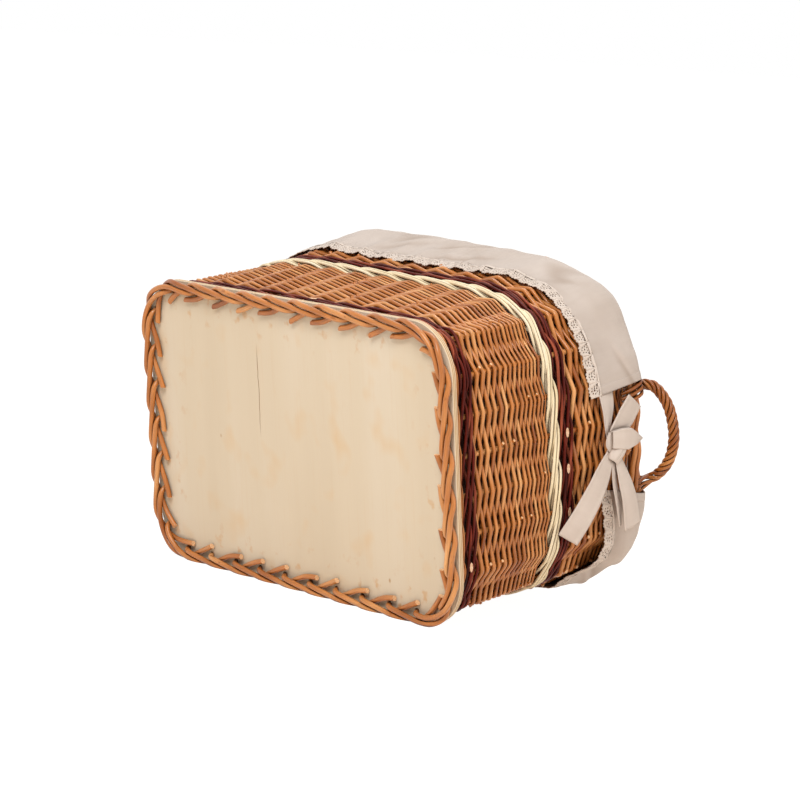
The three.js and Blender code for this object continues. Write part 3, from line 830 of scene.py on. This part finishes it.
def handle():
    packing = math.sin(math.pi / ROPE_STRANDS)
    strand = 0.95 * ROPE_RADIUS * packing / (1 + packing)
    helix = ROPE_RADIUS - strand
    arch = rope_arch()
    normal = Vector((1.0, 0.0, 0.0))
    frames = []
    for tangent in headings(arch):
        normal = (normal - tangent * normal.dot(tangent)).normalized()
        frames.append((normal, tangent.cross(normal)))
    form = Form()
    for k in range(ROPE_STRANDS):
        path = []
        for i, (centre, (first, second)) in enumerate(zip(arch, frames)):
            angle = 2 * math.pi * (ROPE_TURNS * i / ROPE_STEPS + k / ROPE_STRANDS)
            path.append(centre + (first * math.cos(angle) + second * math.sin(angle)) * helix)
        near = foot_route(-1, k % 2 == 1, SPREADS[k])
        far = foot_route(1, k in (3, 4), SPREADS[k])
        route = spline([*reversed(near), *path[4:-PARTING:3], *far], ROUTE_STEPS)
        radii = [strand * (1.0 - 0.12 * abs(2 * i / ROUTE_STEPS - 1)) for i in range(ROUTE_STEPS + 1)]
        form.tube(route, radii, start=2.9 * k + 41.0, sides=9)
    for end, mirror in (("right", False), ("left", True)):
        make_piece(f"handle_{end}", "rope", form, [WILLOW_ROPE, WILLOW_END], mirror)


handle()


# Liner: a bag inside the wall, and two skirts that fold over the border

CLOTH_THICKNESS = 0.9 * MM
LINER_INSET = WRAP_OFFSET + 2.3 * MM
BAG_AROUND = 180
BAG_FLOOR_RINGS = 8
BAG_WALL_RINGS = 22
BAG_SLACK = 3.4 * MM
FLOOR_LIFT = 0.8 * MM
FLOOR_WRINKLE = 5 * MM
END_RISE = 4 * MM


def liner_bag():
    floor = BOARD_TOP + FLOOR_LIFT
    brim = RIM_HEIGHT + CLEARANCE
    rows = []
    for i in range(BAG_FLOOR_RINGS):
        reach = (i + 0.4) / BAG_FLOOR_RINGS
        row = []
        for k in range(BAG_AROUND):
            edge = wall_place(k / BAG_AROUND, floor, -LINER_INSET - 1 * MM)
            point = Vector((edge.x * reach, edge.y * reach, floor))
            point.z += noise.noise(point * 26.0 + Vector((0.3, 0.7, 0.5))) ** 2 * FLOOR_WRINKLE
            row.append((point, (point.x, point.y, 0.0)))
        rows.append(row)
    for i in range(BAG_WALL_RINGS + 1):
        climbed = i / BAG_WALL_RINGS
        row = []
        for k in range(BAG_AROUND):
            share = k / BAG_AROUND
            from_end = abs((share + 0.25) % 0.5 - 0.25)
            height = lerp(floor, brim + END_RISE * smoothstep((0.04 - from_end) / 0.01), climbed)
            base = wall_place(share, height, -LINER_INSET)
            loose = math.sin(math.pi * min(climbed * 1.05, 1.0)) * BAG_SLACK
            slack = loose * abs(noise.noise(Vector((base.x * 24.0, base.y * 24.0, height * 9.0))))
            point = wall_place(share, height, -LINER_INSET - slack)
            row.append((point, (share * RIM.perimeter, height, 0.0)))
        rows.append(row)
    form = Form()
    form.grid(rows, closed=True)
    form.face(tuple(reversed(range(BAG_AROUND))))
    bag = make_piece("liner_bag", "cloth", form, [LINING])
    thicken(bag, CLOTH_THICKNESS)


liner_bag()

SKIRT_FLAT = (0.096, 0.55)
SKIRT_GAP = 99.6 * MM
SKIRT_START = SKIRT_GAP / 2 / RIM.perimeter
SKIRT_SHARE = 0.5 - 2 * SKIRT_START
SKIRT_LENGTH = SKIRT_SHARE * RIM.perimeter
SKIRT_STEPS = 420
SKIRT_DOWN = 60
FRONT_SLANT = 6 * MM
BACK_SLANT = 11 * MM
SLANT_SHARE = 0.15
SKIRT_FOLDS = 9
FOLD_DEPTH = 1.6 * MM
FREE_FOLDS = 15
FREE_DEPTH = 3.4 * MM
FREE_DROP = 6 * MM
FREE_TUCK = 0.5 * MM
FREE_FROM = 0.22
FREE_TO = 0.82
FREE_EASE = 0.12
HEM_TUCK = 2.5 * MM
BACK_LIFT = 16 * MM
LACE_WIDTH = 13 * MM
LACE_OVERLAP = 4 * MM
END_HEM = 6 * MM
HEM_STEP = 0.5 * MM
END_LIFT = 1.2 * MM
END_EASE = 18 * MM
DRAPE = 2.6 * MM
PUCKER = 1.8 * MM
CRUMPLE = 0.4 * MM
CREASE = 1.1 * MM
CREASE_WIDTH = 0.12
CREASE_DEEPEST = 0.9 * MM
CREASE_LIFT = 0.5 * MM
HEM_FLARE = 5 * MM
HEM_DIP = 5 * MM

# Where the skirts sag or lie close over the border, in millimetres: how far out, share along, width
SAGS = {
    "front": ((6, 0.135, 0.05), (-1.6, 0.24, 0.045), (1.8, 0.58, 0.05), (-2.5, 0.32, 0.06),
              (-2.2, 0.78, 0.06)),
    "back": ((3.5, 0.86, 0.09), (2, 0.96, 0.04)),
}


def along_side(along, end):
    """1 on the long side of the front skirt, where it hangs free, else 0."""
    if end == "back":
        return 0.0
    return smoothstep((along - FREE_FROM) / FREE_EASE) * smoothstep((FREE_TO - along) / FREE_EASE)


def fold_out(along, end, seed):
    """How far a fold stands out at the hem, at a share along the skirt."""
    free = along_side(along, end)
    shift = wobble(seed, 5.0 * along, 0.55)
    wave = 0.5 - 0.5 * math.cos(2 * math.pi * (SKIRT_FOLDS * along + shift))
    peak = (0.5 - 0.5 * math.cos(2 * math.pi * (FREE_FOLDS * along + 2 * shift))) ** 3
    strength = 0.75 + wobble(seed + 2, 7.0 * along, 0.5)
    ripple = wobble(seed + 5, 60.0 * along, 0.5 * MM)
    flare = HEM_FLARE * bump(along, 0.91, 0.07) if end == "back" else -FREE_TUCK * free
    return lerp(FOLD_DEPTH * wave, FREE_DEPTH * peak, free) * strength + ripple - HEM_TUCK + flare


def hem_height(along, end, seed):
    """The hem's height. The back skirt is rucked up by the floor at its visible end."""
    lift = BACK_LIFT * bump(along, 0.93, 0.06) if end == "back" else 0.0
    return HEM_HEIGHT + lift - FREE_DROP * along_side(along, end) + wobble(seed + 8, 9.0 * along, 3 * MM)


def skirt_share(along, start, height, hem):
    """The share of the way round the wall. The skirts' ends slant, so that the hem is the longer edge."""
    drop = max((RIM_HEIGHT - height) / (RIM_HEIGHT - hem), 0.0)
    first = max(1.0 - along / SLANT_SHARE, 0.0) ** 2
    last = max(1.0 - (1.0 - along) / SLANT_SHARE, 0.0) ** 2
    slant = FRONT_SLANT if start < 0.5 else BACK_SLANT
    return start + SKIRT_SHARE * along + drop * slant * (last - first) / RIM.perimeter


def skirt_profile(along, end, seed):
    """Out and height from the bag's edge, over the border, to the hem."""
    fold = fold_out(along, end, seed)
    hem = hem_height(along, end, seed)
    top = RIM_HEIGHT + 0.9 * MM
    puff = 0.6 * MM + wobble(seed + 11, 22.0 * along, 0.8 * MM)
    sag = sum(size * MM * bump(along, middle, width) for size, middle, width in SAGS[end])
    dip = HEM_DIP * bump(along, 0.9, 0.08) if end == "back" else 0.0
    knots = [
        (-LINER_INSET, top - 1.2 * MM),
        (-8 * MM, top + puff),
        (0.0, top + 0.9 * MM + puff),
        (SKIRT_OUT - 3.4 * MM + 0.6 * sag, top + 0.4 * MM),
        (SKIRT_OUT + 0.3 * MM + sag, top - 3.6 * MM),
        (SKIRT_OUT + 0.9 * MM + sag, lerp(top, BORDER_BOTTOM, 0.55)),
        (SKIRT_OUT + 0.7 * MM + sag, BORDER_BOTTOM),
        (SKIRT_OUT + 0.5 * fold + 0.5 * sag - dip, lerp(BORDER_BOTTOM, hem, 0.5)),
        (SKIRT_OUT + fold, hem),
    ]
    return spline([Vector((out, height, 0.0)) for out, height in knots], SKIRT_DOWN)


def crease_at(along, height, seed):
    """The step of a slanted crease, from -1 to 1, and the slow swell of the cloth beside it."""
    travelled = along * SKIRT_LENGTH
    swell = noise.noise(Vector((travelled * 15.0 + height * 28.0, height * 10.0, 3.0 + seed)))
    across = swell / CREASE_WIDTH
    sharp = smoothstep(0.5 + 1.8 * noise.noise(Vector((travelled * 16.0, height * 20.0, 9.0 + seed))))
    return sharp * across * math.exp(0.5 - 0.5 * across * across), swell


def cloth_out(along, end, start, seed, place, hem, down):
    """How far out the skirt lies at a place (out, height) of its profile and a share of the way down,
    with its drape, its creases and the turned hems at its ends."""
    to_end = min(along, 1.0 - along) * SKIRT_LENGTH
    turned = HEM_STEP * smoothstep((END_HEM + HEM_STEP - to_end) / HEM_STEP)
    turned += END_LIFT * smoothstep((10 * MM + END_EASE - to_end) / END_EASE)
    point = wall_place(skirt_share(along, start, place.y, hem), place.y, place.x)
    step, swell = crease_at(along, place.y, seed)
    crease = CREASE * step + PUCKER * swell + noise.noise(point * 95.0) * CRUMPLE
    crease = (max(crease, -CREASE_DEEPEST) + CREASE_LIFT) * smoothstep((to_end - END_HEM) / END_EASE)
    drape = noise.noise(Vector((along * SKIRT_LENGTH * 38.0, place.y * 12.0, seed))) * DRAPE
    if end == "back":
        drape *= 1.0 + 1.2 * bump(along, 0.9, 0.12)
    else:
        crease *= 1.0 - bump(along, 0.27, 0.09)
    hang = smoothstep((down - 0.23) / 0.23)
    return place.x + (drape + 0.9 * MM) * hang + crease * smoothstep((down - 0.15) / 0.15) + turned


def skirt(end, start, seed):
    seam = [END_HEM / SKIRT_LENGTH, (END_HEM + HEM_STEP) / SKIRT_LENGTH]
    places = [i / SKIRT_STEPS for i in range(SKIRT_STEPS + 1)] + seam + [1.0 - place for place in seam]
    rows = []
    for along in sorted(places):
        hem = hem_height(along, end, seed)
        row = []
        for k, place in enumerate(skirt_profile(along, end, seed)):
            down = k / SKIRT_DOWN
            out = cloth_out(along, end, start, seed, place, hem, down)
            point = wall_place(skirt_share(along, start, place.y, hem), place.y, out)
            # The painted shade on the low side of each crease, passed to the cotton as the grain's third
            # value.
            painted_crease_shade = max(-crease_at(along, place.y, seed)[0], 0.0) * smoothstep(down / 0.2 - 1.0)
            row.append((point, (along * SKIRT_LENGTH, SKIRT_FLAT[0] * down, painted_crease_shade)))
        rows.append(row)
    form = Form()
    form.grid(rows)
    obj = make_piece(f"liner_skirt_{end}", "cloth", form, [COTTON])
    thicken(obj, CLOTH_THICKNESS)
    return obj


# Lace: a strip of worked motifs with open eyelets and a scalloped edge

LACE_PITCH = 10.5 * MM
LACE_THICKNESS = 0.7 * MM
LACE_LIFT = 0.5 * MM
LACE_LEAN = 2 * MM
FLUTTER = 0.9 * MM
SCALLOP_STEPS = 16
PETALS = 7


def lace_motif():
    """One repeat of the lace as triangles: (along, down) in shares of the pitch and the width."""
    def ring(x, y, across, down, count):
        angles = [2 * math.pi * i / count for i in range(count)]
        return [(x + across * math.cos(angle), y + down * math.sin(angle)) for angle in angles]
    scallop = []
    for i in range(SCALLOP_STEPS + 1):
        x = 1.0 - i / SCALLOP_STEPS
        lobe = 0.78 + 0.16 * math.sin(math.pi * x) ** 0.6 + 0.05 * math.cos(8 * math.pi * x)
        scallop.append((x, lobe))
    outline = [(0.0, 0.0), (0.25, 0.0), (0.5, 0.0), (0.75, 0.0), (1.0, 0.0), *scallop]
    eyelets = [ring(0.5, 0.52, 0.06, 0.055, 8)]
    for i in range(PETALS):
        angle = math.pi * (0.5 + 2 * i / PETALS)
        eyelets.append(ring(0.5 + 0.24 * math.cos(angle), 0.52 + 0.22 * math.sin(angle), 0.05, 0.045, 7))
    eyelets += [ring(0.1, 0.2, 0.045, 0.04, 6), ring(0.9, 0.2, 0.045, 0.04, 6)]
    loops = [outline, *eyelets]
    flat = [corner for loop in loops for corner in loop]
    triangles = geometry.tessellate_polygon([[Vector((x, y, 0.0)) for x, y in loop] for loop in loops])
    return flat, triangles


MOTIF_POINTS, MOTIF_FACES = lace_motif()


def lace(end, start, seed):
    form = Form()
    count = round(SKIRT_LENGTH / LACE_PITCH)
    for i in range(count):
        first = len(form.points)
        for x, y in MOTIF_POINTS:
            along = (i + x) / count
            hem = hem_height(along, end, seed)
            height = hem + LACE_OVERLAP - y * LACE_WIDTH
            edge = Vector((SKIRT_OUT + fold_out(along, end, seed), hem, 0.0))
            out = cloth_out(along, end, start, seed, edge, hem, 1.0) + LACE_LIFT - LACE_LEAN * y
            flutter = wobble(seed + 14, 90.0 * along, FLUTTER) * y
            share = skirt_share(along, start, height, hem)
            form.points.append(wall_place(share, height, out + flutter))
            form.grain.append((along * SKIRT_LENGTH, y * LACE_WIDTH, 0.0))
        for a, b, c in MOTIF_FACES:
            form.face((first + a, first + b, first + c))
    obj = make_piece(f"lace_{end}", "trim", form, [LACE])
    thicken(obj, LACE_THICKNESS, offset=1.0)
    return obj


for end, start, seed in (("front", SKIRT_START, 21), ("back", 0.5 + SKIRT_START, 43)):
    skirt_piece = skirt(end, start, seed)
    lace_piece = lace(end, start, seed)


# Ties: a strap from each skirt's corner, knotted in a bow with two tails

TIE_WIDTH = 22 * MM
TIE_THICKNESS = 0.8 * MM
RIBBON_SIDES = (-1.0, -0.84, -0.74, -0.5, -0.25, 0.0, 0.25, 0.5, 0.74, 0.84, 1.0)
KNOT_Y = 6 * MM
KNOT_HEIGHT = RIM_HEIGHT - 41 * MM
STRAP_OUT = SKIRT_OUT + 0.75 * MM
KNOT_OUT = STRAP_OUT + 7 * MM
KNOT_LENGTH = 18.8 * MM
KNOT_SIZE = (7.8 * MM, 6 * MM)
KNOT_LEAN = math.radians(-40)
KNOT_AROUND = 24
KNOT_ALONG = 12
RIBBON_HEM = 0.45 * MM


def ribbon(form, places, widths, steps, start, cup, turns=None):
    """A flat band of cloth along places (across, height, out), with its width square to the wall's
    direction out, all in millimetres. A cup bends it across, turns twist it in degrees."""
    line = spline([end_place(*(value * MM for value in place)) for place in places], steps)
    rows = []
    travelled = start
    for i, (point, tangent) in enumerate(zip(line, headings(line))):
        travelled += (point - line[i - 1]).length if i else 0.0
        share = i / steps
        out = Vector((1.0, 0.0, 0.0))
        if turns:
            out = Matrix.Rotation(math.radians(pick(turns, share)), 3, tangent) @ out
        out = (out - tangent * out.dot(tangent)).normalized()
        edge = tangent.cross(out) * (pick(widths, share) / 2 * MM)
        row = []
        for side in RIBBON_SIDES:
            hem = RIBBON_HEM if abs(side) > 0.75 else 0.0
            place = point + edge * side + out * (cup * MM * (1 - side * side) + hem)
            row.append((place, (travelled, side * TIE_WIDTH / 2, 0.0)))
        rows.append(row)
    form.grid(rows)


def tie_piece(name, form):
    for end, mirror in (("right", False), ("left", True)):
        obj = make_piece(f"{name}_{end}", "cloth", form, [TIE_COTTON], mirror)
        thicken(obj, TIE_THICKNESS)


def ties():
    """The right end's straps and tails, read from the photo. The left end's mirror them."""
    form = Form()
    ribbon(form, [(-52, 180, 7), (-34, 178.5, 10.5), (-15, 174.5, 14), (2, 178, 15)],
           [18.48, 15.4, 7, 6], steps=20, start=1.0, cup=0.5)
    tie_piece("tie_strap_front", form)
    form = Form()
    ribbon(form, [(55, 199, 5), (34, 195, 10.5), (12, 184, 14)],
           [17.6, 13.2, 8], steps=16, start=1.5, cup=0.7)
    tie_piece("tie_strap_back", form)
    form = Form()
    ribbon(form, [(6, 176, 15.5), (17, 167, 17), (36, 156, 16), (55, 143.5, 14.5), (75, 131, 12)],
           [11, 20.46, 22, 22, 22], steps=40, start=2.0, cup=0.6, turns=(0, 0, 8, 14, 16))
    tie_piece("tail_long", form)
    form = Form()
    ribbon(form, [(12, 182, 17), (26, 184.5, 19.5), (46, 190, 22), (69, 196.5, 24)],
           [8, 15.4, 18.92, 20.9], steps=34, start=3.0, cup=1.6)
    ribbon(form, [(13, 179, 15.5), (30, 177.5, 16.5), (50, 180.5, 18), (68, 186.5, 19)],
           [5, 9, 10, 10], steps=30, start=3.4, cup=1.2, turns=(0, -20, -30, -30))
    tie_piece("tail_short", form)


def bow():
    """The knot, wrapped once round, with a short square end and a loop folded to a point."""
    form = Form()
    ribbon(form, [(4, 180, 14), (-8, 181, 15.5), (-20, 189.5, 17), (-35.5, 204.5, 16)],
           [9, 18.92, 22, 20.46], steps=30, start=4.0, cup=1.0)
    for lift in (0.0, 2.2):
        ribbon(form, [(-7, 174, 18 + lift), (-6.5, 184, 20 + lift), (-5, 193, 20 + lift),
                      (-3.2, 201, 19 + lift), (-2, 209, 18 + lift / 3)],
               [15, 18.5, 19, 10.5, 1], steps=28, start=5.0 + lift, cup=0.8)
    ribbon(form, [(4, 177, 16), (-5, 171, 18.5), (-14, 172, 18.5)],
           [7, 9, 3], steps=14, start=6.0, cup=0.8)
    tall, deep = KNOT_SIZE
    rows = []
    for i in range(KNOT_AROUND + 1):
        angle = 2 * math.pi * i / KNOT_AROUND
        row = []
        for k in range(KNOT_ALONG + 1):
            side = 2 * k / KNOT_ALONG - 1
            bulge = 1.0 - 0.28 * side * side + 0.06 * math.cos(3 * angle + 2 * side)
            local_y = side * KNOT_LENGTH / 2
            local_z = math.sin(angle) * tall * bulge
            out = KNOT_OUT + math.cos(angle) * deep * bulge
            across = KNOT_Y + local_y * math.cos(KNOT_LEAN) - local_z * math.sin(KNOT_LEAN)
            height = KNOT_HEIGHT + local_y * math.sin(KNOT_LEAN) + local_z * math.cos(KNOT_LEAN)
            row.append((end_place(across, height, out), (angle * deep, local_y, 0.0)))
        rows.append(row)
    form.grid(rows)
    tie_piece("bow", form)


ties()
bow()


# Stage: the basket lies on its back long side, on a white floor that shows from its upper side only.
# The floor stays white to the eye and throws warm light back at the basket.

FLOOR_REACH = 40.0
FLOOR_COLOUR = (0.86, 0.78, 0.7, 1.0)
FLOOR_GLOW = (1.0, 0.86, 0.74, 1.0)
GLOW_STRENGTH = 0.22
WHITE_STRENGTH = 1.2
WHITE_SHARE = 0.78
HEM_REST = 3 * MM
ROOM_COLOUR = (0.33, 0.33, 0.33, 1.0)


def stage():
    low = Vector((0.0, board_high.y, BOARD_BOTTOM))
    high = Vector((0.0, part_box("liner_skirt_back")[1].y + HEM_REST, HEM_HEIGHT))
    up_the_wall = (high - low).normalized()
    across = Vector((1.0, 0.0, 0.0)) * FLOOR_REACH
    ahead = up_the_wall * FLOOR_REACH
    corners = [low - across - ahead, low + across - ahead, low + across + ahead, low - across + ahead]
    mesh = bpy.data.meshes.new("floor")
    mesh.from_pydata(corners, [], [(0, 1, 2, 3)])
    add_object("floor", mesh)
    material = bpy.data.materials.new("floor")
    material.use_nodes = True
    nodes = Nodes(material.node_tree)
    nodes.tree.nodes.clear()
    paper = nodes.node("BsdfDiffuse", Color=FLOOR_COLOUR)["BSDF"]
    glow = nodes.node("Emission", Color=FLOOR_GLOW, Strength=GLOW_STRENGTH)["Emission"]
    lit = nodes.node("AddShader", _0=paper, _1=glow)["Shader"]
    white = nodes.node("Emission", Strength=WHITE_STRENGTH)["Emission"]
    share = nodes.math("MULTIPLY", nodes.background_rays(), WHITE_SHARE)
    shown = nodes.node("MixShader", _0=share, _1=lit, _2=white)["Shader"]
    clear = nodes.node("BsdfTransparent")["BSDF"]
    below = nodes.node("NewGeometry")["Backfacing"]
    one_sided = nodes.node("MixShader", _0=below, _1=shown, _2=clear)["Shader"]
    nodes.node("OutputMaterial", Surface=one_sided)
    mesh.materials.append(material)


stage()

# The camera, solved from the board's outline and the rim in the photo
CAMERA_PLACE = Vector((1.794, -0.603, -1.548))
CAMERA_RIGHT = Vector((0.6915, 0.0425, 0.7212))
CAMERA_DOWN = Vector((0.1387, 0.9719, -0.1902))
CAMERA_AHEAD = Vector((-0.709, 0.2315, 0.6661))
CAMERA_LENS = 124.3


def camera():
    data = bpy.data.cameras.new("camera")
    data.lens = CAMERA_LENS
    data.sensor_width = 36.0
    data.clip_end = 100.0
    obj = add_object("camera", data)
    axes = Matrix((CAMERA_RIGHT, -CAMERA_DOWN, -CAMERA_AHEAD)).transposed()
    obj.matrix_world = Matrix.Translation(CAMERA_PLACE) @ axes.to_4x4()
    bpy.context.scene.camera = obj


camera()

MIDDLE = Vector((0.0, 0.0, 0.11))


def lamp(name, right, up, back, size, watts):
    """A soft lamp placed from the middle of the basket in the camera's directions."""
    data = bpy.data.lights.new(name, "AREA")
    data.shape = "DISK"
    data.size = size
    data.energy = watts
    obj = add_object(name, data)
    obj.location = MIDDLE + CAMERA_RIGHT * right - CAMERA_DOWN * up - CAMERA_AHEAD * back
    obj.rotation_mode = "QUATERNION"
    obj.rotation_quaternion = (MIDDLE - obj.location).to_track_quat("-Z", "Y")


lamp("key", right=-0.4, up=1.35, back=1.7, size=1.1, watts=34.5)
lamp("top", right=0.2, up=1.9, back=-0.3, size=1.2, watts=18.0)
lamp("fill", right=1.6, up=0.3, back=1.1, size=1.4, watts=7.5)


def world():
    made = bpy.data.worlds.new("studio")
    bpy.context.scene.world = made
    made.use_nodes = True
    nodes = Nodes(made.node_tree)
    room = nodes.tree.nodes["Background"]
    room.inputs["Color"].default_value = ROOM_COLOUR
    white = nodes.node("Background", Color=(1.0, 1.0, 1.0, 1.0))["Background"]
    shown = nodes.node("MixShader", _0=nodes.background_rays(), _1=room.outputs[0], _2=white)["Shader"]
    nodes.feed(nodes.tree.nodes["World Output"].inputs["Surface"], shown)


world()
bpy.context.scene.view_settings.view_transform = "Standard"
